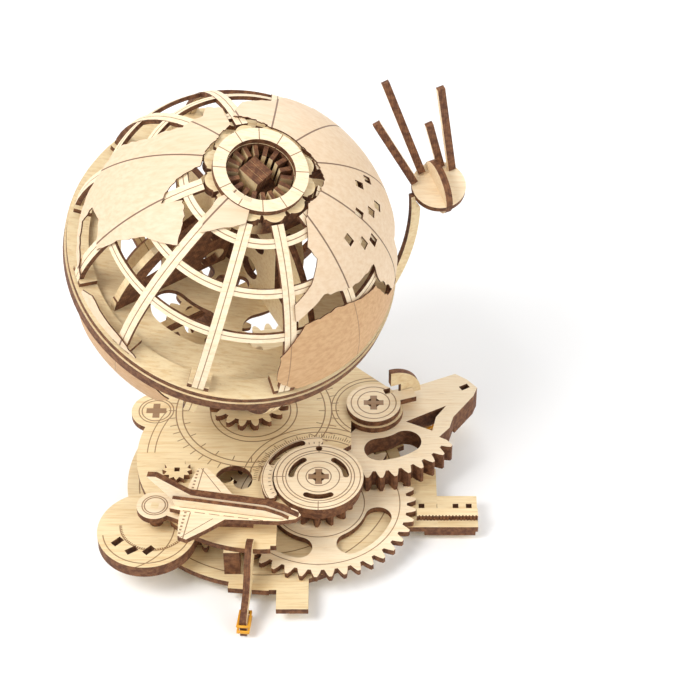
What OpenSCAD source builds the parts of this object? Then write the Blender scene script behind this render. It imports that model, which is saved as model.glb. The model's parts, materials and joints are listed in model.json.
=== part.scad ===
/* [Globe] */
// height of the globe centre above the table
globe_z = 123; // [122.8:0.1:123.2]
// sideways offset of the globe centre from the main shaft
globe_x = -4; // [-4.2:0.1:-3.8]
// fore and aft offset of the globe centre from the main shaft
globe_y = -2; // [-2.2:0.1:-1.8]
// outer radius of the rib lattice
globe_r = 70; // [69:0.5:71]
// outer radius of the upper equator ring
ring_r = 72; // [71.5:0.5:73]
// tilt of the polar axis
tilt = 23.5; // [23:0.5:24]
// compass heading of the north pole
tilt_az = -57; // [-60:1:-54]
// width of a meridian strip
rib_w = 5; // [4:0.5:6]
// outer radius of the pole petals
petal_r = 23; // [22:0.5:24]
/* [Base] */
// sheet thickness
ply = 3; // [3:0.1:3]
// radius of the base disc
base_r = 63.5; // [62:0.5:65]
// radius of the top disc
top_r = 58; // [57:0.5:60]
// underside height of the base plate
base_z = 6; // [6:0.5:6]
// underside height of the top plate
top_z = 23; // [23:0.5:23]
// reach of the legs from the disc centre
leg_r = 85; // [82:1:90]
// reach of the fixed grip
grip_x = 104; // [98:1:112]
/* [Train] */
// teeth of the large gear
main_n = 42; // [42:1:42]
// teeth of the shaft pinion
shaft_n = 14; // [14:1:14]
// teeth of the lever sector when full
lever_n = 40; // [40:1:40]
// teeth of the ratchet pinion
ratchet_n = 14; // [14:1:14]
// radius of the dial
dial_r = 20; // [19:0.5:21]
// radius of shafts
shaft_r = 3; // [2.5:0.25:3.25]
// radial running clearance
run = 0.06; // [0.04:0.01:0.08]
/* [Flyers] */
// height of the flyer deck
deck_z = 35.1; // [35:0.1:35.5]
// distance of the probe from the middle of its arc
probe_d = 92.5; // [92:0.5:94]
// probe radius
probe_r = 12; // [10:0.5:12]
// moon disc radius
moon_r = 22; // [20:0.5:23]
/* [Hidden] */
$fn = 72;
m = 2;
pa = 25;
slack = 0.34;
light = [0.93, 0.82, 0.63];
dark = [0.52, 0.33, 0.19];
tan_col = [0.86, 0.66, 0.5];
band_col = [0.93, 0.7, 0.1];
mid_x = 8;
mid_y = -27;
gear_z = base_z + ply + 0.7;
lever_z = gear_z + ply + 0.9;
deck = top_z + ply;
g_d = m * (main_n + shaft_n) / 2;
g_az = -54.5;
gx = g_d * cos(g_az);
gy = g_d * sin(g_az);
p_az = 62.5;
p_d = m * (lever_n + ratchet_n) / 2;
px = gx + p_d * cos(p_az);
py = gy + p_d * sin(p_az);
i_az = 195.5;
idler_n = 11;
ix = gx + (m * (main_n + idler_n) / 2) * cos(i_az);
iy = gy + (m * (main_n + idler_n) / 2) * sin(i_az);
sx = gx + (m * (main_n + 2 * idler_n + 10) / 2) * cos(i_az);
sy = gy + (m * (main_n + 2 * idler_n + 10) / 2) * sin(i_az);
k_az = 122.5;
kx = ix + (m * (idler_n + 12) / 2) * cos(k_az);
ky = iy + (m * (idler_n + 12) / 2) * sin(k_az);
j_az = 73;
jx = 34 * cos(j_az);
jy = 34 * sin(j_az);
// gear phases so that teeth sit in the gaps of their partners
main_rot = 3;
shaft_rot = 180 + g_az + 180 + 180 / shaft_n + (main_n / shaft_n) * (180 + g_az - main_rot);
i_rot = 180 + i_az + 180 / idler_n + (main_n / idler_n) * (i_az - main_rot);
s_rot = 180 + i_az + 18 + (idler_n / 10) * (i_az - i_rot);
k_rot = 180 + k_az + 15 + (idler_n / 12) * (k_az - i_rot);
j_rot = 180 + j_az + 9 + (shaft_n / 20) * (j_az - shaft_rot);
sector_rot = 4.5;
ratchet_rot = p_az + 180 / ratchet_n + (lever_n / ratchet_n) * (180 + p_az - sector_rot);
ju_rot = 0;
carrier_rot = 180 + 253 + 15 + (22 / 12) * (253 - ju_rot);
// place where the crossed shaft pinion and globe gear meet, found from their two axes
drive_z = 55.67;
drive_d = 65.6;
drive_az = 131.48;
drive_turn = 9.25;
shuttle_az = -9.2;
arm_z = deck_z - 2.5 - ply;
bore = shaft_r + run;
boss_z = 46;
hub_z = 37;
pole_r = 4;
pole_bore = pole_r + run;
probe_az = 22;
probe_el = 4.8;
bracket_az = 131.3;

// sub-part to show, or all of them

function inv(a) = tan(a) * 180 / PI - a;
function half_at(q, n, r, s) = let(b = r * cos(pa), a = acos(min(1, b / q)))
  90 / n + inv(pa) - inv(a) - s / r * 45 / PI;

module teeth(n, mod, first, count, add, ded, s) {
  r = n * mod / 2;
  top = r + add;
  root = r - ded;
  mid = r + add / 2;
  low = max(root + 0.1, r * cos(pa));
  polygon(concat(count < n ? [[0, 0]] : [], [for (i = [first:first + count - 1])
    let(c = i * 360 / n, a0 = half_at(low, n, r, s), a1 = half_at(r, n, r, s),
      a2 = half_at(mid, n, r, s), a3 = max(0.25, half_at(top, n, r, s)))
    for (q = [[root, -a0], [low, -a0], [r, -a1], [mid, -a2], [top, -a3], [top, a3],
      [mid, a2], [r, a1], [low, a0], [root, a0]])
    [q[0] * cos(c + q[1]), q[0] * sin(c + q[1])]]));
}

module gear_2d(n, mod = m, s = slack) {
  teeth(n, mod, 0, n, 0.88 * mod, 1.18 * mod, s);
}

module plate(z, h = ply) {
  translate([0, 0, z]) linear_extrude(h) children();
}

module pie(r, a, b) {
  polygon(concat([[0, 0]], [for (i = [0:8]) let(t = a + (b - a) * i / 8)
    [r * cos(t), r * sin(t)]]));
}

module slot_arc(r1, r2, a, b) {
  w = (r2 - r1) / 2;
  rm = (r1 + r2) / 2;
  intersection() {
    difference() {
      circle(r2);
      circle(r1);
    }
    pie(r2 * 1.5, a, b);
  }
  for (t = [a, b]) translate([rm * cos(t), rm * sin(t)]) circle(w - 0.01);
}

module cross_2d(r = shaft_r) {
  intersection() {
    circle(r);
    union() {
      square([2 * r, r * 0.8], center = true);
      square([r * 0.8, 2 * r], center = true);
    }
  }
}

module hull_strip(a, b, w) {
  d = [b[0] - a[0], b[1] - a[1]];
  translate(a) rotate(atan2(d[1], d[0])) translate([0, -w / 2]) square([norm(d), w]);
}

module globe_frame(spin = 0) {
  translate([globe_x, globe_y, globe_z]) rotate([0, 0, tilt_az]) rotate([0, tilt, 0])
    rotate([0, 0, spin]) children();
}

module leg_cuts() {
  for (a = leg_az) translate([mid_x, mid_y]) rotate(a)
    translate([top_r - 8, -ply / 2]) square([60, ply]);
}

leg_az = [-95, 131, 26];

module base_2d() {
  difference() {
    union() {
      translate([mid_x, mid_y]) circle(base_r);
      translate([14.5, -104.3]) square([14, 24]);
      translate([0, -93.5]) square([22, 10]);
      translate([50, -57]) square([36, 36]);
      for (a = leg_az) translate([mid_x, mid_y]) rotate(a)
        translate([base_r - 9, -9]) square([12, 18]);
    }
    translate([mid_x, mid_y]) rotate(-36) slot_arc(32, 50, -8, 18);
    translate([gx, gy]) circle(bore);
    circle(10);
    translate([ix, iy]) circle(bore);
    translate([sx, sy]) circle(bore);
    translate([kx, ky]) circle(bore);
    translate([jx, jy]) circle(bore);
    for (a = leg_az) translate([mid_x, mid_y]) rotate(a)
      translate([base_r - 1, -ply / 2]) square([30, ply]);
    for (x = [77.6, 85.8]) translate([x, -45.4]) square([2.6, 2.6]);
  }
}

module base_plate() {
  color(light) plate(base_z) base_2d();
}

module grip_block() {
  color(light) plate(base_z) difference() {
    translate([86, -57]) square([grip_x - 86, 19]);
    for (x = [93, 99]) translate([x, -45.4]) square([2.6, 2.6]);
  }
  color(light) plate(base_z - ply) translate([80, -56.5]) square([grip_x - 81, 8]);
  color(light) plate(base_z + ply) difference() {
    translate([76.5, -53]) square([grip_x - 76.5, 4.6]);
    for (i = [0:17]) translate([77.3 + i * 1.5, -53.5]) square([0.7, 1]);
  }
}

module plate_posts() {
  color(light) for (q = [[-43.2, 0], [-5, -81], [-46, -25.5], [-20, 24]])
    plate(base_z + ply, top_z - base_z - ply) translate([q[0], q[1]]) square([7, 7], center = true);
}

module top_2d() {
  difference() {
    union() {
      intersection() {
        translate([mid_x, mid_y]) circle(top_r);
        polygon([[-80, 60], [47, 60], [47, -22], [34, -32], [30, -60], [12, -60],
          [12, -92], [-80, -92]]);
      }
      circle(43);
      translate([gx, gy]) circle(19);
      translate([gx, gy]) pie(35.5, 88, 200);
      translate([-43.2, 0]) circle(11.5);
      translate([px, py]) circle(13.7);
      translate([-2, -83]) square([16.5, 22]);
      polygon([[20, -20], [57, 0], [68, 4], [67, 13], [50, 29], [34, 43], [20, 47], [0, 40]]);
      hull_strip([-8, 10], [-40, 30], 18);
    }
    circle(bore);
    translate([gx, gy]) circle(bore + 6);
    translate([kx, ky]) circle(bore);
    translate([jx, jy]) circle(bore);
    translate([px, py]) circle(shaft_r);
    translate([sx, sy]) circle(7.5);
    translate([-5.6, -43.8]) slot_arc(0.2, 8.5, -20, 150);
    for (a = [leg_az[0], leg_az[1]]) translate([mid_x, mid_y]) rotate(a)
      translate([top_r - 4, -ply / 2]) square([40, ply]);
  }
}

module top_plate() {
  color(light) plate(top_z) top_2d();
}

module corner_tab() {
  color(light) plate(deck) difference() {
    union() {
      translate([px, py]) circle(12.5);
      hull_strip([px + 4, py + 2], [px + 19, py + 7], 6);
    }
    translate([px, py]) circle(shaft_r);
    hull_strip([px + 5, py + 7], [px + 22, py + 13.2], 3.4);
  }
}

module scale_arc() {
  color(light) plate(deck) translate([gx, gy]) difference() {
    slot_arc(dial_r + 0.6, dial_r + 5.6, 92, 205);
    slot_arc(dial_r + 1.4, dial_r + 4.6, 110, 156);
  }
}

module hook_plate() {
  color(light) translate([px + 7, py + 9.4, deck]) rotate([0, 0, 20]) rotate([90, 0, 0])
    linear_extrude(ply) difference() {
      intersection() {
        circle(15);
        square([15, 15]);
      }
      square([5, 7]);
    }
}

module leg_profile(high) {
  foot = [[leg_r, 0], [leg_r - 8, 0], [leg_r - 8, 8.6], [base_r - 1, 8.6]];
  polygon(concat(foot, high ? [[base_r - 1, 14], [top_r - 4, 18], [top_r - 4, 28],
    [top_r - 1, 29.2], [top_r + 3, 29.2], [top_r + 8, 25], [base_r + 4, 20], [leg_r - 12, 14]] :
    [[base_r - 1, 12.4], [leg_r - 12, 12.4]], [[leg_r - 3, 11], [leg_r, 9]]));
}

module leg_at(a, high = true) {
  color(light) difference() {
    translate([mid_x, mid_y, 0]) rotate([0, 0, a]) rotate([90, 0, 0])
      translate([0, 0, -ply / 2]) linear_extrude(ply) leg_profile(high);
    plate(top_z) top_2d();
    plate(base_z) base_2d();
  }
}

module leg_front() {
  leg_at(leg_az[0]);
}

module leg_left() {
  leg_at(leg_az[1]);
}

module leg_right() {
  leg_at(leg_az[2], false);
}

module foot_bands() {
  color(band_col) for (a = leg_az) translate([mid_x, mid_y, 0]) rotate([0, 0, a])
    for (z = [2, 4.4, 6.6]) translate([leg_r - 8.8, -ply / 2 - 0.8, z]) difference() {
      cube([9.6, ply + 1.6, 1.7]);
      translate([0.8, 0.8, -1]) cube([8, ply, 4]);
    }
}

module moon_disc() {
  color(light) plate(16, 6) difference() {
    translate([-42.5, -70]) circle(moon_r);
    translate([sx, sy]) circle(bore);
    for (q = [[-55, -77, 45], [-48.5, -82, 32], [-41, -82, 45]])
      translate([q[0], q[1]]) rotate(q[2]) square([5.2, 3], center = true);
  }
}

module moon_riser() {
  color(light) plate(base_z + ply, 16 - base_z - ply) difference() {
    intersection() {
      translate([-47, -58]) circle(9);
      translate([mid_x, mid_y]) circle(base_r);
    }
    translate([sx, sy]) circle(12.6);
    translate([kx, ky]) circle(14.6);
  }
}

module column() {
  color(light) translate([0, 0, deck]) difference() {
    union() {
      cylinder(r = 5.5, h = boss_z - deck);
      translate([0, 0, boss_z - deck]) cylinder(r = 7, h = 4.5);
    }
    translate([0, 0, -1]) cylinder(r = bore, h = 60);
  }
}

module tilt_bracket() {
  color(light) difference() {
    union() {
      translate([0, 0, globe_z]) rotate([0, 0, bracket_az]) rotate([90, 0, 0])
        translate([0, 0, -4.5]) linear_extrude(9) intersection() {
          circle(77.8);
          polygon([[0, -80], [0, -72.5], [11, -72.5], [29, -65.6], [39, -61.2], [44, -70]]);
        }
      globe_frame() translate([0, 0, -75.5]) cylinder(r = 8, h = 5.5);
    }
    translate([0, 0, 40]) cylinder(r = 7, h = 30);
    globe_frame() translate([0, 0, -80]) cylinder(r = pole_r, h = 20);
  }
}

module polar_axle() {
  color(light) globe_frame() translate([0, 0, -75.5]) cylinder(r = pole_r, h = 75.5 + 52);
}

module centre_foot() {
  color(light) difference() {
    union() {
      cylinder(r = 14, h = base_z);
      cylinder(r = 10, h = base_z + ply);
    }
    translate([0, 0, 3]) cylinder(r = bore, h = 20);
  }
}

module lever_body_2d() {
  difference() {
    union() {
      circle(13);
      pie(35, -128, -28);
      polygon([[0, -12], [30, -16], [35, -10], [37, -3], [47, 11], [49, 16.5], [44.5, 22],
        [39, 26], [20, 17.5], [-3, 12]]);
    }
    translate([0, 0]) slot_arc(17, 31, -84, -52);
    polygon([[15, -6], [27, -12], [29, -3], [34, 4.5]]);
    translate([43, 17]) rotate(30) square([4.4, 2.8], center = true);
    circle(bore);
  }
}

module lever_2d() {
  difference() {
    union() {
      lever_body_2d();
      rotate(sector_rot) teeth(lever_n, m, -14, 11, 0.88 * m, 1.18 * m, slack);
    }
    slot_arc(17, 31, -84, -52);
    polygon([[15, -6], [27, -12], [29, -3], [34, 4.5]]);
    circle(bore);
  }
}

module lever_bottom() {
  color(light) translate([px, py, 0]) plate(lever_z) lever_2d();
}

module lever_middle() {
  color(light) translate([px, py, 0]) plate(lever_z + ply) lever_2d();
}

module lever_top() {
  color(light) translate([px, py, 0]) plate(lever_z + 2 * ply, top_z - 0.4 - lever_z - 2 * ply)
    lever_2d();
}

module lever_grip() {
  color(light) translate([px, py, 0]) plate(lever_z - ply) difference() {
    polygon([[43, 13], [35, 2], [38, -1.6], [47, 11], [49, 16.5], [44.5, 22], [39, 26], [37, 24]]);
    translate([43, 17]) rotate(30) square([4.4, 2.8], center = true);
  }
}

module pivot_pin() {
  color(light) translate([px, py, 0]) {
    translate([0, 0, base_z + ply]) cylinder(r = shaft_r, h = deck + 1 - base_z - ply);
    plate(deck + 1, 2) cross_2d();
    translate([0, 0, base_z + ply]) cylinder(r = 5, h = lever_z - base_z - ply - 0.3);
  }
}

module ratchet_pinion() {
  color(light) translate([gx, gy, 0]) {
    plate(lever_z) difference() {
      rotate(ratchet_rot) gear_2d(ratchet_n);
      circle(9.8);
    }
    plate(lever_z + ply, top_z - 0.4 - lever_z - ply) difference() {
      rotate(ratchet_rot) gear_2d(ratchet_n);
      circle(bore);
    }
  }
}

module pawls() {
  color(light) translate([gx, gy, 0]) plate(lever_z + 0.1, ply - 0.1)
    for (a = [0, 180]) rotate(a) union() {
      intersection() {
        difference() {
          circle(9.8);
          circle(8.4);
        }
        pie(20, 0, 70);
      }
      rotate(66) polygon([[8.6, -2], [8.6, 1.2], [8, 1.2]]);
    }
}

module main_gear() {
  color(light) translate([gx, gy, 0]) plate(gear_z) difference() {
    rotate(main_rot) gear_2d(main_n);
    circle(shaft_r);
    for (a = [0:90:270]) rotate(a + 10) slot_arc(22, 34, 20, 62);
  }
}

module main_axle() {
  color(light) translate([gx, gy, 0]) {
    translate([0, 0, base_z - 2]) cylinder(r = shaft_r, h = deck + 3 - base_z);
    plate(deck + 1, ply) cross_2d();
  }
}

module ratchet_wheel() {
  color(light) translate([gx, gy, 0]) plate(gear_z + ply, lever_z + ply - 0.2 - gear_z - ply)
    difference() {
      polygon([for (i = [0:11]) for (q = [[7.6, 0], [6, 27]])
        [q[0] * cos(i * 30 + q[1]), q[0] * sin(i * 30 + q[1])]]);
      circle(shaft_r);
    }
}

module dial() {
  color(light) translate([gx, gy, 0]) {
    plate(deck + 1) difference() {
      circle(dial_r);
      circle(shaft_r);
      for (a = [0, 120, 240]) rotate(a + 30) slot_arc(10.8, 13.6, -26, 26);
      translate([0, dial_r - 2.6]) circle(1.5);
    }
    plate(top_z, ply + 1) difference() {
      circle(8.5);
      circle(shaft_r);
    }
  }
}

module main_shaft() {
  color(light) translate([0, 0, 3]) cylinder(r = shaft_r, h = drive_z + ply / 2 - 3);
}

module main_pinion() {
  color(light) plate(gear_z) difference() {
    rotate(shaft_rot) gear_2d(shaft_n);
    circle(shaft_r);
  }
}

module globe_pinion() {
  color(light) plate(drive_z - ply / 2) difference() {
    rotate(drive_az) teeth(10, 2.06, 0, 10, 1.35, 2.6, 0.8);
    circle(shaft_r);
  }
}

module idler_gear() {
  color(light) translate([ix, iy, 0]) {
    plate(gear_z) rotate(i_rot) gear_2d(idler_n);
    translate([0, 0, base_z]) cylinder(r = shaft_r, h = gear_z - base_z);
  }
}

module shuttle_gear() {
  color(light) translate([sx, sy, 0]) plate(gear_z) difference() {
    rotate(s_rot) gear_2d(10);
    circle(shaft_r);
  }
}

module shuttle_axle() {
  color(light) translate([sx, sy, 0]) {
    translate([0, 0, base_z]) cylinder(r = shaft_r, h = arm_z - base_z);
    plate(arm_z, ply) rotate(shuttle_az) square([3.4, 3.4], center = true);
  }
}

module shuttle_arm() {
  color(light) translate([sx, sy, 0]) rotate([0, 0, shuttle_az]) plate(arm_z) difference() {
    union() {
      circle(8);
      hull_strip([0, 0], [14, -4], 6);
      hull_strip([12, -3.5], [44, 0], 7);
    }
    square([3.4, 3.4], center = true);
  }
}

module wing_2d() {
  polygon([[8, -5], [13, -5.5], [13.5, -12], [15, -20.5], [19, -21.5], [26, -15], [33, -7.6],
    [56, -5], [63, -2.6], [65, 0], [63, 2.6], [56, 5], [33, 7.6], [26, 15], [19, 21],
    [15, 20], [13.5, 12], [13, 5.5], [8, 5]]);
}

module shuttle_wing() {
  color(light) translate([sx, sy, 0]) rotate([0, 0, shuttle_az]) {
    plate(deck_z, ply - 0.5) wing_2d();
    plate(deck_z - 2.5, 2.5) polygon([[14, -6], [42, -4.5], [46, 0], [42, 4.5], [14, 6]]);
  }
}

module shuttle_body() {
  color(light) translate([sx, sy, 0]) rotate([0, 0, shuttle_az]) {
    rotate([90, 0, 0]) translate([0, 0, -1.5]) linear_extrude(3)
      translate([0, deck_z + ply - 0.5]) polygon([[10, 0], [-2, 14.5], [2, 15], [17, 6], [24, 5.6],
        [50, 5.2], [58, 2.6], [64, 0]]);
    for (s = [-1, 1]) translate([0, s * 2.5, 0]) rotate([90, 0, 0]) translate([0, 0, -1])
      linear_extrude(2) translate([0, deck_z + ply - 0.5]) polygon([[10, 0], [9, 4.4], [22, 4.4],
        [50, 4], [57, 1.8], [60, 0]]);
  }
}

module counter_gear() {
  color(light) translate([kx, ky, 0]) {
    plate(gear_z) rotate(k_rot) gear_2d(12);
    translate([0, 0, base_z]) cylinder(r = shaft_r, h = deck + 0.2 - base_z);
  }
}

module star_gear() {
  color(light) translate([kx, ky, 0]) plate(deck + 0.2, ply - 0.2) difference() {
    polygon([for (i = [0:11]) for (q = [[6.6, 0], [4.7, 15]])
      [q[0] * cos(i * 30 + q[1]), q[0] * sin(i * 30 + q[1])]]);
    square([2.4, 2.4], center = true);
  }
}

module orbit_idler() {
  color(light) translate([jx, jy, 0]) {
    plate(gear_z) rotate(j_rot) gear_2d(20);
    translate([0, 0, base_z]) cylinder(r = shaft_r, h = deck + 0.6 - base_z);
  }
}

module orbit_wheel() {
  color(light) translate([jx, jy, 0]) plate(deck + 0.6) rotate(ju_rot) gear_2d(22);
}

module carrier_pinion() {
  color(light) plate(deck + 0.6) difference() {
    rotate(carrier_rot) gear_2d(12);
    circle(5.5 + run);
  }
}

module carrier_sleeve() {
  color(light) {
    plate(deck + 3.6, hub_z - deck - 3.6) difference() {
      circle(8);
      circle(5.5 + run);
    }
    plate(31.5) difference() {
      rotate(7) teeth(17, m, 0, 17, 1.7, 2.3, 0.34);
      circle(8);
    }
  }
}

module orbit_arm() {
  color(light) difference() {
    union() {
      translate([0, 0, globe_z]) rotate([0, 0, probe_az]) rotate([90, 0, 0])
        translate([0, 0, -1.5]) linear_extrude(3) {
          intersection() {
            difference() {
              circle(83, $fn = 120);
              circle(78.8, $fn = 120);
            }
            pie(180, -98, probe_el);
          }
        }
      translate([0, 0, hub_z]) cylinder(r = 10, h = 7.6);
    }
    translate([0, 0, hub_z - 5]) cylinder(r = 5.5 + run, h = 30);
    translate([0, 0, hub_z + 7.6]) cylinder(r = 16, h = 10);
    probe_frame() sphere(r = probe_r + 0.05);
  }
}

module probe_frame() {
  translate([0, 0, globe_z]) rotate([0, 0, probe_az]) rotate([0, -probe_el, 0])
    translate([probe_d, 0, 0]) children();
}

module probe_disc() {
  color(light) probe_frame() rotate([20, 0, 0]) translate([0, 0, -1.5]) difference() {
    cylinder(r = probe_r, h = 3);
    translate([-1.5, -20, -1]) cube([3, 40, 5]);
  }
}

module probe_cross() {
  color(light) probe_frame() rotate([20, 0, 0]) rotate([0, 90, 0]) translate([0, 0, -1.5])
    cylinder(r = probe_r, h = 3);
}

// x, y, inward lean, side lean and length of each rod
rods = [[-4.7, 7.6, 14, 32, 48], [-9.5, 4, 24, 26, 37], [4.5, 8.5, 12, 10, 30],
  [8.5, 5.5, 6, 14, 50]];

module probe_rods() {
  color(light) probe_frame() rotate([20, 0, 0]) for (q = rods)
    translate([q[0], q[1], 1.5]) rotate([-q[3], -q[2], 0])
      translate([-1.7, -1.2, 1.7 * sin(q[2]) + 1.2 * sin(q[3])]) cube([3.4, 2.4, q[4]]);
}

module lune(r1, r2, a1, a2) {
  polygon(concat([for (i = [0:12]) let(t = a1 + (a2 - a1) * i / 12) [r2 * cos(t), r2 * sin(t)]],
    [for (i = [12:-1:0]) let(t = a1 + (a2 - a1) * i / 12) [r1 * cos(t), r1 * sin(t)]]));
}

module equator_plate() {
  color(light) globe_frame() translate([0, 0, -1.5]) linear_extrude(3) difference() {
    circle(66);
    circle(pole_bore);
    for (a = [0:60:300]) rotate(a) slot_arc(31, 48, -11, 11);
    for (a = [30:60:330]) rotate(a) slot_arc(12, 19, -14, 14);
  }
}

module ring_upper() {
  color(light) globe_frame() translate([0, 0, 1.5]) linear_extrude(3) difference() {
    circle(ring_r - 0.8, $fn = 120);
    circle(62, $fn = 120);
  }
}

module ring_lower() {
  color(light) globe_frame() translate([0, 0, -4.5]) linear_extrude(6) difference() {
    circle(ring_r, $fn = 120);
    circle(66, $fn = 120);
  }
}

module north_ribs() {
  color(light) globe_frame(18) for (i = [0:11]) rotate([0, 0, i * 30]) rotate([90, 0, 0])
    translate([0, 0, -rib_w / 2]) linear_extrude(rib_w)
      lune(globe_r - 2.2, globe_r, 4.6, 70);
}

module north_bands() {
  color(light) globe_frame(18) difference() {
    for (t = [31.5, 47.5, 64]) rotate_extrude() lune(globe_r - 2, globe_r - 0.3, t - 1.6, t + 1.6);
    for (i = [0:11]) rotate([0, 0, i * 30]) translate([20, -rib_w / 2, 0])
      cube([60, rib_w, 80]);
  }
}

module south_ribs() {
  color(light) globe_frame(18) for (i = [0:11]) rotate([0, 0, i * 30]) rotate([90, 0, 0])
    translate([0, 0, -rib_w / 2]) linear_extrude(rib_w)
      lune(globe_r - 2.2, globe_r, -53, -4.6);
  color(light) globe_frame() rotate_extrude() lune(globe_r - 4.2, globe_r - 2.25, -53, -48);
}

module ring_shoes() {
  color(light) globe_frame(18) for (i = [0:11]) rotate([0, 0, i * 30]) {
    translate([globe_r - 8, -4.5, 4.5]) difference() {
      cube([7.6, 9, 3]);
      translate([5.2, 2, -1]) cube([4, rib_w, 5]);
    }
    translate([globe_r - 8, -4.5, -7.5]) difference() {
      cube([7.6, 9, 3]);
      translate([5.2, 2, -1]) cube([4, rib_w, 5]);
    }
  }
}

module pole_petals() {
  color(light) globe_frame(18) translate([0, 0, 61.2]) linear_extrude(5) difference() {
    union() {
      circle(petal_r - 3.4);
      for (i = [0:11]) rotate(i * 30) translate([petal_r - 4.6, 0]) {
        circle(4.6);
        square([5, 9.2], center = true);
      }
    }
    circle(14);
  }
}

module pole_ring() {
  color(light) globe_frame(18) translate([0, 0, 66.2]) linear_extrude(3) difference() {
    circle(19.5);
    circle(14.2);
  }
}

module pole_posts() {
  color(dark) globe_frame(18) {
    translate([0, 0, 52]) linear_extrude(3) circle(20);
    difference() {
      translate([0, 0, 55]) cylinder(r = 20, h = 6.2);
      translate([0, 0, 54]) cylinder(r = 16, h = 12);
    }
    for (i = [0:17]) rotate([0, 0, i * 20]) translate([8.6, -0.9, 55]) cube([5, 1.8, 11]);
    for (y = [-4.6, -1.5, 1.6]) translate([-7, y, 55]) cube([10, 3, 11]);
  }
}

module inner_frame() {
  color(light) globe_frame(3) for (a = [0, 90, 180, 270]) rotate([0, 0, a]) rotate([90, 0, 0])
    translate([0, 0, -1.5]) linear_extrude(3) difference() {
      union() {
        lune(52, 60, 3, 66);
        polygon([[5, 1.5], [60, 1.5], [60, 9], [30, 18], [20, 51], [5, 51]]);
      }
      translate([13, 10]) circle(5.5);
      translate([12.5, 30]) circle(5);
      translate([11.5, 45]) circle(3.4);
    }
}

module globe_gear() {
  color(light) globe_frame() {
    translate([0, 0, -drive_d - 1.5]) linear_extrude(3) difference() {
      rotate(drive_turn) teeth(18, 18.2 / 9, 0.5, 18, 1.35, 2.6, 0.8);
      circle(pole_bore);
      for (a = [0:120:240]) rotate(a) slot_arc(8, 12, -30, 30);
    }
    translate([0, 0, -drive_d + 1.5]) linear_extrude(drive_d - 3) difference() {
      circle(7);
      circle(pole_bore);
    }
    for (a = [0, 90, 180, 270]) rotate([0, 0, a + 3]) rotate([90, 0, 0])
      translate([0, 0, -1.5]) linear_extrude(3) difference() {
        union() {
          lune(55, 62, -60, 0);
          polygon([[7, -42], [40, -42], [34, -50], [7, -50]]);
        }
        polygon([[0, -1.5], [90, -1.5], [90, 20], [0, 20]]);
      }
  }
}

module skin(r1, r2, lat1, lat2, lon1, lon2) {
  rotate([0, 0, lon1]) rotate_extrude(angle = lon2 - lon1) lune(r1, r2, lat1, lat2);
}

module land_skin() {
  color(tan_col) globe_frame(18) for (q = [[33, 66, 135, 192], [8, 62, 267, 328],
      [-50, -8, 210, 270]]) skin(globe_r + 0.3, globe_r + 1, q[0], q[1], q[2], q[3]);
}

base_plate();
grip_block();
plate_posts();
top_plate();
corner_tab();
scale_arc();
hook_plate();
leg_front();
leg_left();
leg_right();
foot_bands();
moon_disc();
moon_riser();
column();
tilt_bracket();
polar_axle();
centre_foot();
lever_bottom();
lever_middle();
lever_top();
lever_grip();
pivot_pin();
ratchet_pinion();
pawls();
main_gear();
main_axle();
ratchet_wheel();
dial();
main_shaft();
main_pinion();
globe_pinion();
idler_gear();
shuttle_gear();
shuttle_axle();
shuttle_arm();
shuttle_wing();
shuttle_body();
counter_gear();
star_gear();
orbit_idler();
orbit_wheel();
carrier_pinion();
carrier_sleeve();
orbit_arm();
probe_disc();
probe_cross();
probe_rods();
equator_plate();
ring_upper();
ring_lower();
north_ribs();
north_bands();
south_ribs();
ring_shoes();
pole_petals();
pole_ring();
pole_posts();
inner_frame();
globe_gear();
land_skin();
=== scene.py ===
import json
import math
import random
import bpy
from mathutils import Matrix, Vector
from mathutils.geometry import delaunay_2d_cdt


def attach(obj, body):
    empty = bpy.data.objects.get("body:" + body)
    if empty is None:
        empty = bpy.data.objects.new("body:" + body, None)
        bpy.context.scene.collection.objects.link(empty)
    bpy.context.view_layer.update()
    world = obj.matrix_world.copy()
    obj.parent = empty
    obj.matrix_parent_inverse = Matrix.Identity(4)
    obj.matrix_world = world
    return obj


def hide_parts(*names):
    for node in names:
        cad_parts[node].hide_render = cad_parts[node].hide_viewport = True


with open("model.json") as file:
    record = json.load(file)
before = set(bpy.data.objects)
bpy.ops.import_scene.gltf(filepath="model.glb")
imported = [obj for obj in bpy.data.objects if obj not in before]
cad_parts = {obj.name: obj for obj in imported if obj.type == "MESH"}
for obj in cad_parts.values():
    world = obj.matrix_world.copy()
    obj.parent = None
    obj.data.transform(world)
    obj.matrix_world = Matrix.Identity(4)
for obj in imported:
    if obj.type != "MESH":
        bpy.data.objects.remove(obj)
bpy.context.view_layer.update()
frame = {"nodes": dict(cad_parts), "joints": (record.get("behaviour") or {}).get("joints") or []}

mm = 0.001

# the main axes of the model, in the frame's own metres, and headings in degrees
jointSpots = {joint["name"]: Vector(joint["pos_m"]) for joint in frame["joints"]}
globe = {"centre": jointSpots["globe_spin"], "tilt": 23.5, "heading": -57, "radius": 70 * mm,
         "ribPhase": 18, "ribSpacing": 30}
layout = {"dial": jointSpots["drive_spin"][:2], "pivot": jointSpots["lever_swing"][:2],
          "shuttle": jointSpots["shuttle_spin"][:2], "shuttleHeading": -9.2,
          "moon": (-42.5 * mm, -70 * mm), "leftLobe": (-43.2 * mm, 0.0),
          "base": (8 * mm, -27 * mm), "deckRings": (2 * mm, 0.0)}
legs = (("front", -95), ("left", 131), ("right", 26))
probe = {"heading": 22, "lift": 4.8, "roll": 20, "bracket": 131.3}
toDegrees = 180 / math.pi
globeTurn = (Matrix.Rotation(math.radians(globe["heading"]), 4, "Z")
             @ Matrix.Rotation(math.radians(globe["tilt"]), 4, "Y")
             @ Matrix.Rotation(math.radians(globe["ribPhase"]), 4, "Z"))
globePlace = Matrix.Translation(globe["centre"]) @ globeTurn
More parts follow.
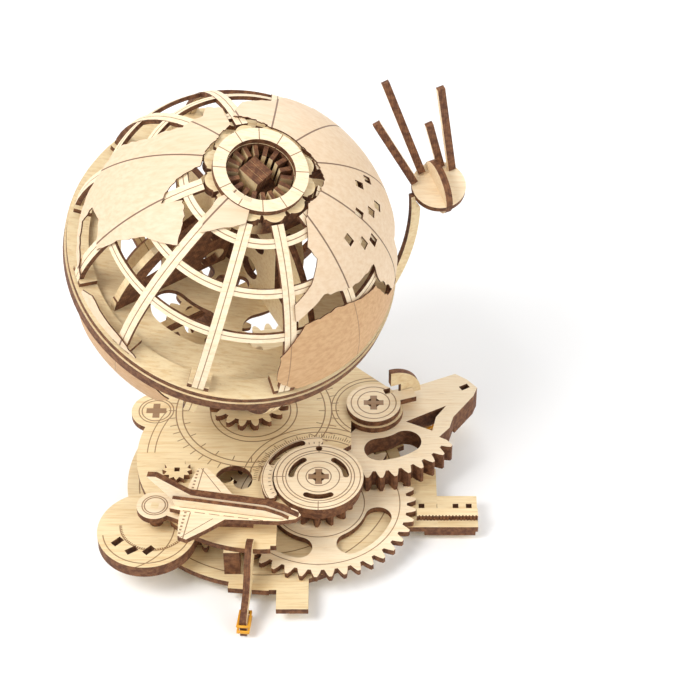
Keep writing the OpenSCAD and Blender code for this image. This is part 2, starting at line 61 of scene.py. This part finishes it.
poleAxis = (globeTurn @ Vector((0, 0, 1))).normalized()


# shader sums
class Wire:

    def __init__(self, finish, socket):
        self.finish = finish
        self.socket = socket

    def op(self, kind, *others):
        return self.finish.maths(kind, self, *others)

    def __add__(self, other):
        return self.op("ADD", other)

    __radd__ = __add__

    def __mul__(self, other):
        return self.op("MULTIPLY", other)

    __rmul__ = __mul__

    def __sub__(self, other):
        return self.op("SUBTRACT", other)

    def __rsub__(self, other):
        return self.finish.maths("SUBTRACT", other, self)

    def __truediv__(self, other):
        return self.op("DIVIDE", other)

    def __lt__(self, other):
        return self.op("LESS_THAN", other)

    def __gt__(self, other):
        return self.op("GREATER_THAN", other)

    def __abs__(self):
        return self.op("ABSOLUTE")


class Finish:
    def __init__(self, name):
        self.material = bpy.data.materials.new(name)
        self.material.use_nodes = True
        self.tree = self.material.node_tree
        self.shader = self.tree.nodes["Principled BSDF"]
        coord = self.tree.nodes.new("ShaderNodeTexCoord")
        self.place = Wire(self, coord.outputs["Object"])
        self.normal = Wire(self, coord.outputs["Normal"])

    def node(self, kind, settings=None, sockets=None, out=0):
        made = self.tree.nodes.new(kind)
        for key, value in (settings or {}).items():
            if key == "stops":
                self.setStops(made, value)
            else:
                setattr(made, key, value)
        for key, value in (sockets or {}).items():
            self.feed(made.inputs[key], value)
        return Wire(self, made.outputs[out])

    def setStops(self, made, stops):
        ramp = made.color_ramp
        while len(ramp.elements) < len(stops):
            ramp.elements.new(0.5)
        for element, (spot, colour) in zip(ramp.elements, stops):
            element.position = spot
            element.color = (*colour, 1)

    def feed(self, socket, value):
        if isinstance(value, Wire):
            self.tree.links.new(value.socket, socket)
        elif isinstance(value, (tuple, list)) and len(value) == 3 and socket.type == "RGBA":
            socket.default_value = (*value, 1)
        else:
            socket.default_value = value

    def maths(self, kind, *values):
        return self.node("ShaderNodeMath", {"operation": kind}, dict(enumerate(values)))

    def vector(self, kind, *values, out=0):
        return self.node("ShaderNodeVectorMath", {"operation": kind}, dict(enumerate(values)), out)

    def mix(self, share, first, second):
        made = self.tree.nodes.new("ShaderNodeMix")
        made.data_type = "RGBA"
        self.feed(made.inputs["Factor"], share)
        self.feed(made.inputs["A"], first)
        self.feed(made.inputs["B"], second)
        return Wire(self, made.outputs["Result"])

    def noise(self, where, scale, detail=4.0, rough=0.6):
        return self.node("ShaderNodeTexNoise", None,
                         {"Vector": where, "Scale": scale, "Detail": detail, "Roughness": rough})

    def step(self, value, low, high):
        return self.node("ShaderNodeMapRange", {"interpolation_type": "SMOOTHSTEP"},
                         {0: value, 1: low, 2: high, 3: 0.0, 4: 1.0})

    def dot(self, first, second):
        return self.vector("DOT_PRODUCT", first, second, out=1)

    def xyz(self, vector):
        made = self.tree.nodes.new("ShaderNodeSeparateXYZ")
        self.feed(made.inputs[0], vector)
        return [Wire(self, made.outputs[k]) for k in range(3)]

    def line(self, distance, width):
        return 1 - self.step(abs(distance), width * 0.5, width * 0.5 + 0.00012)

    def most(self, *masks):
        total = masks[0]
        for mask in masks[1:]:
            total = total.op("MAXIMUM", mask)
        return total


def linear(*rgb):
    return tuple(((c / 255 + 0.055) / 1.055) ** 2.4 if c > 10 else c / 255 / 12.92 for c in rgb)


tones = {"face": linear(243, 224, 182), "faceWarm": linear(222, 191, 140),
         "paleFace": linear(250, 233, 203), "paleWarm": linear(236, 210, 170),
         "burnt": linear(88, 50, 27), "burntPale": linear(138, 92, 58),
         "engraved": linear(122, 80, 42), "char": linear(52, 28, 14),
         "skin": linear(208, 168, 122), "skinWarm": linear(190, 146, 100),
         "skinMid": linear(222, 192, 156), "skinPale": linear(232, 208, 178)}


def plywood(name, axis=None, centre=None, grain=0, engraving=None, pale=False):
    finish = Finish(name)
    if centre is None:
        outward = Vector(axis).normalized()
        facing = abs(finish.dot(finish.normal, tuple(outward)))
        height = finish.dot(finish.place, tuple(outward))
    else:
        spoke = finish.vector("SUBTRACT", finish.place, tuple(centre))
        facing = abs(finish.dot(finish.normal, finish.vector("NORMALIZE", spoke)))
        height = finish.vector("LENGTH", spoke, out=1)
    isFace = finish.step(facing, 0.6, 0.85)
    streaked = finish.node("ShaderNodeMapping", None,
                           {"Vector": finish.place, "Rotation": (0, 0.12, math.radians(grain)),
                            "Scale": (60.0, 900.0, 700.0)})
    streaks = finish.noise(streaked, 1.0, 5.0, 0.62)
    clouds = finish.noise(finish.place, 38.0, 3.0)
    pores = finish.step(finish.noise(streaked, 2.6, 2.0), 0.60, 0.72)
    first, second = ("paleFace", "paleWarm") if pale else ("face", "faceWarm")
    wood = finish.mix(finish.step(streaks, 0.35, 0.75), tones[first], tones[second])
    wood = finish.mix(clouds * 0.5, wood, tones[second])
    wood = finish.mix(pores * 0.22, wood, tones["burntPale"])
    depth = pores * 0.4
    if engraving:
        cut = engraving(finish) * isFace
        wood = finish.mix(cut * 0.85, wood, tones["engraved"])
        depth = finish.most(depth, cut)
    scorch = finish.noise(finish.place, 420.0, 4.0)
    ply = finish.step(abs((height / (1.0 * mm)).op("FRACT") - 0.5), 0.28, 0.5)
    edge = finish.mix(finish.step(scorch, 0.35, 0.7), tones["burnt"], tones["burntPale"])
    edge = finish.mix(ply * 0.45, edge, tones["char"])
    finish.feed(finish.shader.inputs["Base Color"], finish.mix(isFace, edge, wood))
    finish.feed(finish.shader.inputs["Roughness"], 0.78 - isFace * 0.2)
    bump = finish.node("ShaderNodeBump", None, {"Strength": 0.35, "Distance": 0.00012,
                                                "Height": 1 - depth})
    finish.feed(finish.shader.inputs["Normal"], bump)
    return finish.material


def sunk(finish, centre):
    x, y, _ = finish.xyz(finish.place)
    dx = x - centre[0]
    dy = y - centre[1]
    reach = (dx * dx + dy * dy).op("SQRT")
    bearing = dy.op("ARCTAN2", dx) * toDegrees
    return reach, bearing, dx, dy


def ticks(finish, reach, bearing, inner, outer, spacing, width=0.32 * mm):
    slot = abs((bearing / spacing).op("FRACT") - 0.5) - 0.5
    across = abs(slot) * spacing / toDegrees * reach
    stroke = 1 - finish.step(across, width * 0.5, width * 0.5 + 0.00015)
    return stroke * (reach > inner) * (reach < outer)


def between(value, low, high):
    return (value > low) * (value < high)


def axleCross(finish, dx, dy):
    wide = (abs(dx) < 4.6 * mm) * (abs(dy) < 1.6 * mm)
    tall = (abs(dx) < 1.6 * mm) * (abs(dy) < 4.6 * mm)
    return finish.most(wide, tall)


deckMarks = {"rings": (17, 20, 33, 36), "dialRings": (26.8, 31.6, 34.6), "dialArc": (60, 178),
             "rimRings": (50, 53.4), "rimArc": (150, 205), "lobeRings": (6.6, 8),
             "bossRings": (8, 17.5, 19.5)}


def deckEngraving(finish):
    reach, bearing, _, _ = sunk(finish, layout["deckRings"])
    marks = [finish.line(reach - r * mm, 0.45 * mm) for r in deckMarks["rings"]]
    marks.append(ticks(finish, reach, bearing, 36 * mm, 39.5 * mm, 7.5))
    marks.append(ticks(finish, reach, bearing, 30 * mm, 33 * mm, 15))
    dialReach, dialBearing, _, _ = sunk(finish, layout["dial"])
    scale = between(dialBearing, *deckMarks["dialArc"])
    marks += [finish.line(dialReach - r * mm, 0.4 * mm) * scale for r in deckMarks["dialRings"]]
    marks.append(ticks(finish, dialReach, dialBearing, 28 * mm, 29.6 * mm, 2.2, 0.2 * mm) * scale)
    marks.append(ticks(finish, dialReach, dialBearing, 28 * mm, 30.8 * mm, 11, 0.25 * mm) * scale)
    farReach, farBearing, _, _ = sunk(finish, layout["base"])
    rim = between(farBearing, *deckMarks["rimArc"])
    marks += [finish.line(farReach - r * mm, 0.35 * mm) * rim for r in deckMarks["rimRings"]]
    lobe, _, lobeX, lobeY = sunk(finish, layout["leftLobe"])
    marks += [finish.line(lobe - r * mm, 0.4 * mm) for r in deckMarks["lobeRings"]]
    marks.append(axleCross(finish, lobeX, lobeY))
    boss, _, _, _ = sunk(finish, layout["pivot"])
    marks += [finish.line(boss - r * mm, 0.4 * mm) for r in deckMarks["bossRings"]]
    return finish.most(*marks)


def scaleEngraving(finish):
    reach, bearing, _, _ = sunk(finish, layout["dial"])
    return finish.most(ticks(finish, reach, bearing, 21.4 * mm, 22.6 * mm, 6, 0.3 * mm),
                       finish.line(reach - 25 * mm, 0.3 * mm))


def baseEngraving(finish):
    reach, _, _, _ = sunk(finish, layout["base"])
    return finish.most(*[finish.line(reach - r * mm, 0.4 * mm) for r in (58, 46)])


def moonEngraving(finish):
    reach, bearing, dx, dy = sunk(finish, layout["moon"])
    marks = [finish.line(reach - 19.5 * mm, 0.4 * mm) * between(bearing, -170, 20)]
    inner = ((dx - 3 * mm) * (dx - 3 * mm) + (dy - 3 * mm) * (dy - 3 * mm)).op("SQRT")
    angle = (dy - 3 * mm).op("ARCTAN2", dx - 3 * mm) * toDegrees
    marks.append(finish.line(inner - 15.2 * mm, 0.35 * mm) * between(angle, -178, -20))
    marks.append(ticks(finish, inner, angle, 14.2 * mm, 15.2 * mm, 4, 0.5 * mm)
                 * between(angle, -178, -20))
    crescent = ((dx + 14 * mm) * (dx + 14 * mm) + (dy - 2 * mm) * (dy - 2 * mm)).op("SQRT")
    marks.append(finish.line(crescent - 26 * mm, 0.4 * mm))
    return finish.most(*marks)


def dialEngraving(finish):
    reach, _, dx, dy = sunk(finish, layout["dial"])
    marks = [finish.line(reach - r * mm, 0.35 * mm) for r in (5.6, 9.4, 14.6, 16, 18.6)]
    marks.append(axleCross(finish, dx, dy))
    marks.append(finish.line(dx, 0.3 * mm) * between(reach, 15 * mm, 20 * mm))
    marks.append(finish.line(dy, 0.3 * mm) * between(reach, 15 * mm, 20 * mm) * (dx < 0))
    return finish.most(*marks)


def gearEngraving(finish):
    reach, _, _, _ = sunk(finish, layout["dial"])
    return finish.most(*[finish.line(reach - r * mm, 0.35 * mm) for r in (36.5, 20.5)])


def hubEngraving(centre, *radii, crossed=False):
    def marks(finish):
        reach, _, dx, dy = sunk(finish, centre)
        rings = [finish.line(reach - r * mm, 0.4 * mm) for r in radii]
        return finish.most(*rings, *([axleCross(finish, dx, dy)] if crossed else []))
    return marks


def globeFrame(finish):
    turn = globeTurn.to_3x3().transposed()
    spoke = finish.vector("SUBTRACT", finish.place, tuple(globe["centre"]))
    return [finish.dot(spoke, tuple(turn[row])) for row in range(3)]


def ribOffset(finish):
    x, y, _ = globeFrame(finish)
    reach = (x * x + y * y).op("SQRT")
    bearing = y.op("ARCTAN2", x) * toDegrees
    spacing = globe["ribSpacing"]
    return (abs((bearing / spacing).op("FRACT") - 0.5) - 0.5) * spacing / toDegrees * reach


def ribSeams(finish):
    return finish.line(ribOffset(finish), 0.3 * mm)


def bandSeams(finish):
    x, y, z = globeFrame(finish)
    reach = (x * x + y * y).op("SQRT")
    lat = z.op("ARCTAN2", reach) * toDegrees
    marks = [finish.line((lat - mid) * 1.2 * mm, 0.3 * mm) for mid in (31.5, 47.5, 64)]
    return finish.most(*marks)


def petalSeams(finish):
    x, y, _ = globeFrame(finish)
    reach = (x * x + y * y).op("SQRT")
    bearing = y.op("ARCTAN2", x) * toDegrees
    spacing = globe["ribSpacing"]
    across = abs(abs((bearing / spacing + 0.5).op("FRACT") - 0.5) - 0.5)
    return finish.line(across * spacing / toDegrees * reach, 0.3 * mm)


def shuttleLines(finish):
    turn = math.radians(layout["shuttleHeading"])
    x, y, _ = finish.xyz(finish.place)
    dx = x - layout["shuttle"][0]
    dy = y - layout["shuttle"][1]
    along = dx * math.cos(turn) + dy * math.sin(turn)
    across = dy * math.cos(turn) - dx * math.sin(turn)
    side = abs(across)
    marks = [finish.line(side - 5.6 * mm, 0.3 * mm) * between(along, 14 * mm, 60 * mm)
             * ((along / (6.4 * mm)).op("FRACT") < 0.72),
             finish.line(side - 3.6 * mm, 0.25 * mm) * between(along, 12 * mm, 58 * mm),
             finish.line(along - 17.5 * mm, 0.35 * mm) * (side > 6 * mm),
             finish.line(along - 15.4 * mm, 0.9 * mm) * (side > 6 * mm)
             * ((side / (2 * mm)).op("FRACT") < 0.45),
             finish.line((along + side * 0.9) - 35 * mm, 0.35 * mm) * (side > 8 * mm)]
    return finish.most(*marks)


def plainSkin(name, warm):
    finish = Finish(name)
    spoke = finish.vector("SUBTRACT", finish.place, tuple(globe["centre"]))
    facing = abs(finish.dot(finish.normal, finish.vector("NORMALIZE", spoke)))
    isFace = finish.step(facing, 0.5, 0.8)
    streaked = finish.node("ShaderNodeMapping", None, {"Vector": finish.place,
                           "Rotation": (0.3, 0.5, 0.9), "Scale": (40.0, 600.0, 600.0)})
    streaks = finish.noise(streaked, 1.0, 5.0, 0.6)
    clouds = finish.noise(finish.place, 30.0, 3.0)
    first, second = ("skin", "skinWarm") if warm else ("skinPale", "skinMid")
    base = finish.mix(finish.step(streaks, 0.3, 0.75), tones[first], tones[second])
    base = finish.mix(finish.step(clouds, 0.4, 0.8) * 0.35, base, tones[second])
    seams = finish.line(ribOffset(finish), (0.3 if warm else 0.6) * mm)
    base = finish.mix(seams * (0.5 if warm else 0.85), base, tones["burnt"])
    finish.feed(finish.shader.inputs["Base Color"],
                finish.mix(isFace, tones["burnt"], base))
    finish.feed(finish.shader.inputs["Roughness"], 0.5 + streaks * 0.15)
    bump = finish.node("ShaderNodeBump", None, {"Strength": 0.25, "Distance": 0.0001,
                                                "Height": 1 - seams * 0.8})
    finish.feed(finish.shader.inputs["Normal"], bump)
    return finish.material


def rubber(name):
    finish = Finish(name)
    mottled = finish.noise(finish.place, 300.0, 3.0)
    finish.feed(finish.shader.inputs["Base Color"],
                finish.mix(mottled, linear(240, 178, 40), linear(214, 140, 20)))
    finish.feed(finish.shader.inputs["Roughness"], 0.42 + mottled * 0.1)
    return finish.material


print("materials")
up = (0, 0, 1)


def legAxis(bearing):
    turn = math.radians(bearing + 90)
    return (math.cos(turn), math.sin(turn), 0)


upright = plywood("uprightPly", up, grain=12)
palePly = plywood("palePly", up, grain=-20, pale=True)
poleWise = tuple(poleAxis)
finishes = {
    "base_plate": plywood("basePly", up, grain=8, engraving=baseEngraving),
    "top_plate": plywood("deckPly", up, grain=14, engraving=deckEngraving),
    "moon_disc": plywood("moonPly", up, grain=60, engraving=moonEngraving),
    "dial": plywood("dialPly", up, grain=-35, engraving=dialEngraving, pale=True),
    "main_gear": plywood("gearPly", up, grain=40, engraving=gearEngraving, pale=True),
    "scale_arc": plywood("scalePly", up, grain=20, engraving=scaleEngraving, pale=True),
    "corner_tab": plywood("bossPly", up, grain=30, pale=True,
                          engraving=hubEngraving(layout["pivot"], 7.4, 10.4, crossed=True)),
    "shuttle_arm": plywood("armPly", up, grain=0,
                           engraving=hubEngraving(layout["shuttle"], 4.6, 5.6), pale=True),
    "shuttle_wing": plywood("wingPly", up, grain=-9, engraving=shuttleLines, pale=True),
    "north_ribs": plywood("ribPly", centre=globe["centre"], engraving=ribSeams, pale=True),
    "north_bands": plywood("bandPly", centre=globe["centre"], engraving=bandSeams, pale=True),
    "south_ribs": plywood("southRibPly", centre=globe["centre"], engraving=ribSeams),
    "pole_ring": plywood("poleRingPly", poleWise, engraving=petalSeams, pale=True),
    "pole_petals": plywood("petalPly", poleWise, engraving=petalSeams),
}
globePly = plywood("globePly", poleWise, grain=50)
for name in ("equator_plate", "ring_upper", "ring_lower", "ring_shoes", "globe_gear"):
    finishes[name] = globePly
for name in ("lever_bottom", "lever_middle", "lever_top", "lever_grip"):
    finishes[name] = palePly
for legName, bearing in legs:
    finishes["leg_" + legName] = plywood("leg_" + legName + "Ply", legAxis(bearing), grain=70)
for name, spot in (("main_axle", "dial"), ("pivot_pin", "pivot")):
    finishes[name] = plywood(name + "Ply", up, engraving=hubEngraving(layout[spot], crossed=True))
finishes["hook_plate"] = plywood("hookPly", (0, 1, 0))
finishes["shuttle_body"] = plywood("finPly", legAxis(layout["shuttleHeading"]), pale=True)
finishes["orbit_arm"] = plywood("orbitPly", legAxis(probe["heading"]), grain=30)
finishes["tilt_bracket"] = plywood("bracketPly", legAxis(probe["bracket"]))
finishes["pole_posts"] = plywood("postPly", tuple(globeTurn.to_3x3() @ Vector((0, 1, 0))))
frameTurn = globeTurn.to_3x3() @ Matrix.Rotation(math.radians(-15), 3, "Z")
finishes["inner_frame"] = plywood("innerPly", tuple(frameTurn @ Vector((0, 1, 0))))
probeTilt = (Matrix.Rotation(math.radians(probe["heading"]), 3, "Z")
             @ Matrix.Rotation(math.radians(-probe["lift"]), 3, "Y")
             @ Matrix.Rotation(math.radians(probe["roll"]), 3, "X"))
finishes["probe_disc"] = plywood("probePly", tuple(probeTilt @ Vector((0, 0, 1))), pale=True)
finishes["probe_cross"] = plywood("crossPly", tuple(probeTilt @ Vector((1, 0, 0))), pale=True)
finishes["probe_rods"] = plywood("rodPly", tuple(probeTilt @ Vector((1, 0, 0))), pale=True)
skinNorth = plainSkin("landVeneer", False)
skinSouth = plainSkin("landVeneerWarm", True)
bandRubber = rubber("bandRubber")

for name, thing in frame["nodes"].items():
    thing.data.materials.clear()
    thing.data.materials.append(finishes.get(name, upright))


# land veneers
# outlines in degrees round the pole, from the way it leans, and degrees above the equator
land = {
    "lift": 0.5 * mm, "thick": 0.6 * mm, "grid": 3.0, "wiggle": 0.5,
    "outlines": {
        "northAmerica": [(-185, 60), (-180, 70), (-155, 72), (-120, 70), (-112, 62), (-100, 55),
                         (-95, 62), (-85, 60), (-75, 52), (-90, 45), (-97, 35), (-100, 25),
                         (-110, 30), (-117, 27), (-115, 20), (-105, 15), (-97, 8), (-105, 12),
                         (-120, 20), (-130, 28), (-142, 35), (-144, 48), (-155, 58), (-170, 60),
                         (-178, 56)],
        "greenland": [(-70, 60), (-60, 65), (-42, 70), (-45, 78), (-75, 78), (-80, 72)],
        "southAmericaNorth": [(-95, 8), (-90, 12), (-75, 10), (-65, 6), (-95, 6)],
        "eurasia": [(-10, 37), (-10, 43), (0, 48), (8, 55), (5, 60), (15, 68), (28, 71),
                    (60, 68), (100, 72), (140, 72), (172, 66), (160, 58), (140, 54), (135, 45),
                    (122, 40), (120, 28), (108, 20), (105, 9), (95, 18), (88, 22), (78, 8),
                    (70, 22), (57, 26), (55, 16), (44, 13), (35, 30), (36, 37), (25, 38),
                    (15, 40), (5, 43)],
        "africaNorth": [(-6, 35), (10, 36), (22, 32), (32, 30), (38, 18), (50, 11), (42, 6),
                        (-8, 6), (-16, 13), (-16, 24)],
        "southAmericaSouth": [(-95, -6), (-55, -6), (-50, -10), (-55, -22), (-65, -30),
                              (-75, -40), (-85, -52), (-90, -45), (-87, -20)],
        "africaSouth": [(8, -6), (40, -6), (38, -18), (30, -28), (20, -35), (14, -25), (12, -12)],
        "australia": [(114, -22), (125, -15), (132, -12), (142, -12), (150, -25), (148, -37),
                      (132, -32), (116, -34)],
    },
    "warm": ("africaNorth", "africaSouth", "southAmericaSouth"),
    "windows": {"count": 8, "west": 30, "apart": 6, "lows": (50, 44, 40), "side": 4},
}


def roughened(outline, step, wiggle, rng):
    points = []
    for a, b in zip(outline, outline[1:] + outline[:1]):
        span = math.hypot(b[0] - a[0], b[1] - a[1])
        count = max(1, round(span / step))
        for k in range(count):
            t = k / count
            push = 0 if k == 0 or abs(a[1] - b[1]) < 0.01 else rng.uniform(-wiggle, wiggle)
            points.append(Vector((a[0] + (b[0] - a[0]) * t + push,
                                  a[1] + (b[1] - a[1]) * t + push * 0.6)))
    return points


def veneer(name, outline, rng, material):
    turning = sum(a[0] * b[1] - b[0] * a[1] for a, b in zip(outline, outline[1:] + outline[:1]))
    rim = roughened(outline if turning > 0 else outline[::-1], land["grid"] * 0.6,
                    land["wiggle"], rng)
    inner = []
    lows = [min(p[k] for p in rim) for k in (0, 1)]
    highs = [max(p[k] for p in rim) for k in (0, 1)]
    for i in range(int((highs[0] - lows[0]) / land["grid"]) + 1):
        for j in range(int((highs[1] - lows[1]) / land["grid"]) + 1):
            inner.append(Vector((lows[0] + i * land["grid"], lows[1] + (j + 0.37) * land["grid"])))
    windows = land["windows"]
    boxes = []
    for k in range(windows["count"]):
        west = windows["west"] + k * windows["apart"]
        low = windows["lows"][k % len(windows["lows"])]
        east, high = west + windows["side"], low + windows["side"]
        boxes.append([Vector((west, low)), Vector((east, low)), Vector((east, high)),
                      Vector((west, high))])
    points = rim + inner
    faces = [list(range(len(rim)))]
    for box in boxes:
        faces.append(list(range(len(points), len(points) + 4)))
        points = points + box
    chart = delaunay_2d_cdt(points, [], faces, 1, 1e-4)
    kept = [face for face, sources in zip(chart[2], chart[5]) if list(sources) == [0]]
    reach = globe["radius"] + land["lift"]
    spots = []
    for p in chart[0]:
        lon = math.radians(p[0] - globe["ribPhase"])
        lat = math.radians(p[1])
        spots.append(globePlace @ Vector((reach * math.cos(lat) * math.cos(lon),
                                          reach * math.cos(lat) * math.sin(lon),
                                          reach * math.sin(lat))))
    mesh = bpy.data.meshes.new(name)
    mesh.from_pydata(spots, [], kept)
    mesh.validate()
    sheet = bpy.data.objects.new(name, mesh)
    bpy.context.collection.objects.link(sheet)
    bpy.ops.object.select_all(action="DESELECT")
    bpy.context.view_layer.objects.active = sheet
    sheet.select_set(True)
    wall = sheet.modifiers.new("thickness", "SOLIDIFY")
    wall.thickness = land["thick"]
    wall.offset = 1.0
    bpy.ops.object.modifier_apply(modifier=wall.name)
    bpy.ops.object.mode_set(mode="EDIT")
    bpy.ops.mesh.select_all(action="SELECT")
    bpy.ops.mesh.normals_make_consistent(inside=False)
    bpy.ops.object.mode_set(mode="OBJECT")
    bpy.ops.object.shade_smooth_by_angle(angle=math.radians(40))
    mesh.materials.append(material)
    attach(sheet, "globe")
    return sheet


rng = random.Random(7)
for key, outline in land["outlines"].items():
    sheet = veneer(key, outline, rng, skinSouth if key in land["warm"] else skinNorth)
    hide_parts("land_skin")
print("land", len(land["outlines"]))


# rubber bands at the feet
bands = {"outer": 85 * mm, "long": 8 * mm, "thick": 0.85 * mm, "legHalf": 1.5 * mm,
         "levels": (2.9 * mm, 4.5 * mm, 6.6 * mm), "slant": (0.5, -0.6, 0.7)}


def footBand(name, bearing, level, slant):
    half = bands["long"] / 2 + bands["thick"]
    wide = bands["legHalf"] + bands["thick"]
    bpy.ops.object.select_all(action="DESELECT")
    bpy.ops.curve.primitive_bezier_circle_add(radius=1.0, location=(0, 0, 0))
    band = bpy.context.object
    band.name = name
    spline = band.data.splines[0]
    path = [(half, -wide), (half, wide), (-half, wide), (-half, -wide)]
    for point, (x, y) in zip(spline.bezier_points, path):
        rise = slant * mm * (1 if x > 0 else -1)
        point.co = (x, y, rise)
        point.handle_left_type = point.handle_right_type = "VECTOR"
    band.data.bevel_depth = bands["thick"] * 0.8
    band.data.bevel_resolution = 4
    band.data.resolution_u = 6
    bpy.ops.object.convert(target="MESH")
    turn = Matrix.Rotation(math.radians(bearing), 4, "Z")
    reach = bands["outer"] - bands["long"] / 2
    middle = Vector((*layout["base"], level)) + turn @ Vector((reach, 0, 0))
    band.data.transform(Matrix.Translation(middle) @ turn)
    bpy.ops.object.shade_smooth()
    band.data.materials.append(bandRubber)
    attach(band, "base")
    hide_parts("foot_bands")


for legName, bearing in legs:
    for k, (level, slant) in enumerate(zip(bands["levels"], bands["slant"])):
        footBand("band_%s_%d" % (legName, k), bearing, level, slant)
print("bands")


# floor, lights and camera
studio = {"floorSize": 6.0, "floor": linear(250, 250, 250), "world": 0.55,
          "lampAim": Vector((0, -0.02, 0.08)),
          "lamps": (("keyLamp", (-0.55, -0.35, 0.9), 0.5, 8.0),
                    ("fillLamp", (0.8, -0.5, 0.6), 0.9, 4.4),
                    ("backLamp", (0.1, 0.9, 0.7), 0.8, 4.4))}


def buildFloor():
    bpy.ops.object.select_all(action="DESELECT")
    bpy.ops.mesh.primitive_plane_add(size=studio["floorSize"], location=(0, 0, -0.0002))
    floor = bpy.context.object
    floor.name = "floor"
    finish = Finish("floorPaper")
    finish.feed(finish.shader.inputs["Base Color"], studio["floor"])
    finish.feed(finish.shader.inputs["Roughness"], 0.9)
    floor.data.materials.append(finish.material)


def areaLamp(name, place, size, power):
    light = bpy.data.lights.new(name, "AREA")
    light.energy = power
    light.size = size
    lamp = bpy.data.objects.new(name, light)
    lamp.location = place
    aim = studio["lampAim"] - Vector(place)
    lamp.rotation_euler = aim.to_track_quat("-Z", "Y").to_euler()
    bpy.context.collection.objects.link(lamp)


def buildWorld():
    world = bpy.data.worlds.new("studio")
    bpy.context.scene.world = world
    world.use_nodes = True
    nodes = world.node_tree.nodes
    links = world.node_tree.links
    back = nodes["Background"]
    back.inputs["Color"].default_value = (1, 1, 1, 1)
    seen = nodes.new("ShaderNodeBackground")
    seen.inputs["Color"].default_value = (1, 1, 1, 1)
    seen.inputs["Strength"].default_value = 1.0
    back.inputs["Strength"].default_value = studio["world"]
    paths = nodes.new("ShaderNodeLightPath")
    either = nodes.new("ShaderNodeMath")
    either.operation = "MAXIMUM"
    links.new(paths.outputs["Is Camera Ray"], either.inputs[0])
    links.new(paths.outputs["Is Glossy Ray"], either.inputs[1])
    blend = nodes.new("ShaderNodeMixShader")
    links.new(either.outputs[0], blend.inputs["Fac"])
    links.new(back.outputs[0], blend.inputs[1])
    links.new(seen.outputs[0], blend.inputs[2])
    links.new(blend.outputs[0], nodes["World Output"].inputs["Surface"])


buildFloor()
buildWorld()
for lamp in studio["lamps"]:
    areaLamp(*lamp)

view = {"target": Vector((46.5 * mm, 6.4 * mm, 58.5 * mm)), "far": 0.9, "elevation": 43.0,
        "lens": 101.8}
cameraData = bpy.data.cameras.new("camera")
cameraData.lens = view["lens"]
cameraData.sensor_width = 36
camera = bpy.data.objects.new("camera", cameraData)
rise = math.radians(view["elevation"])
camera.location = view["target"] + view["far"] * Vector((0, -math.cos(rise), math.sin(rise)))
camera.rotation_euler = (math.radians(90) - rise, 0, 0)
bpy.context.collection.objects.link(camera)
bpy.context.scene.camera = camera
bpy.context.scene.view_settings.view_transform = "Standard"
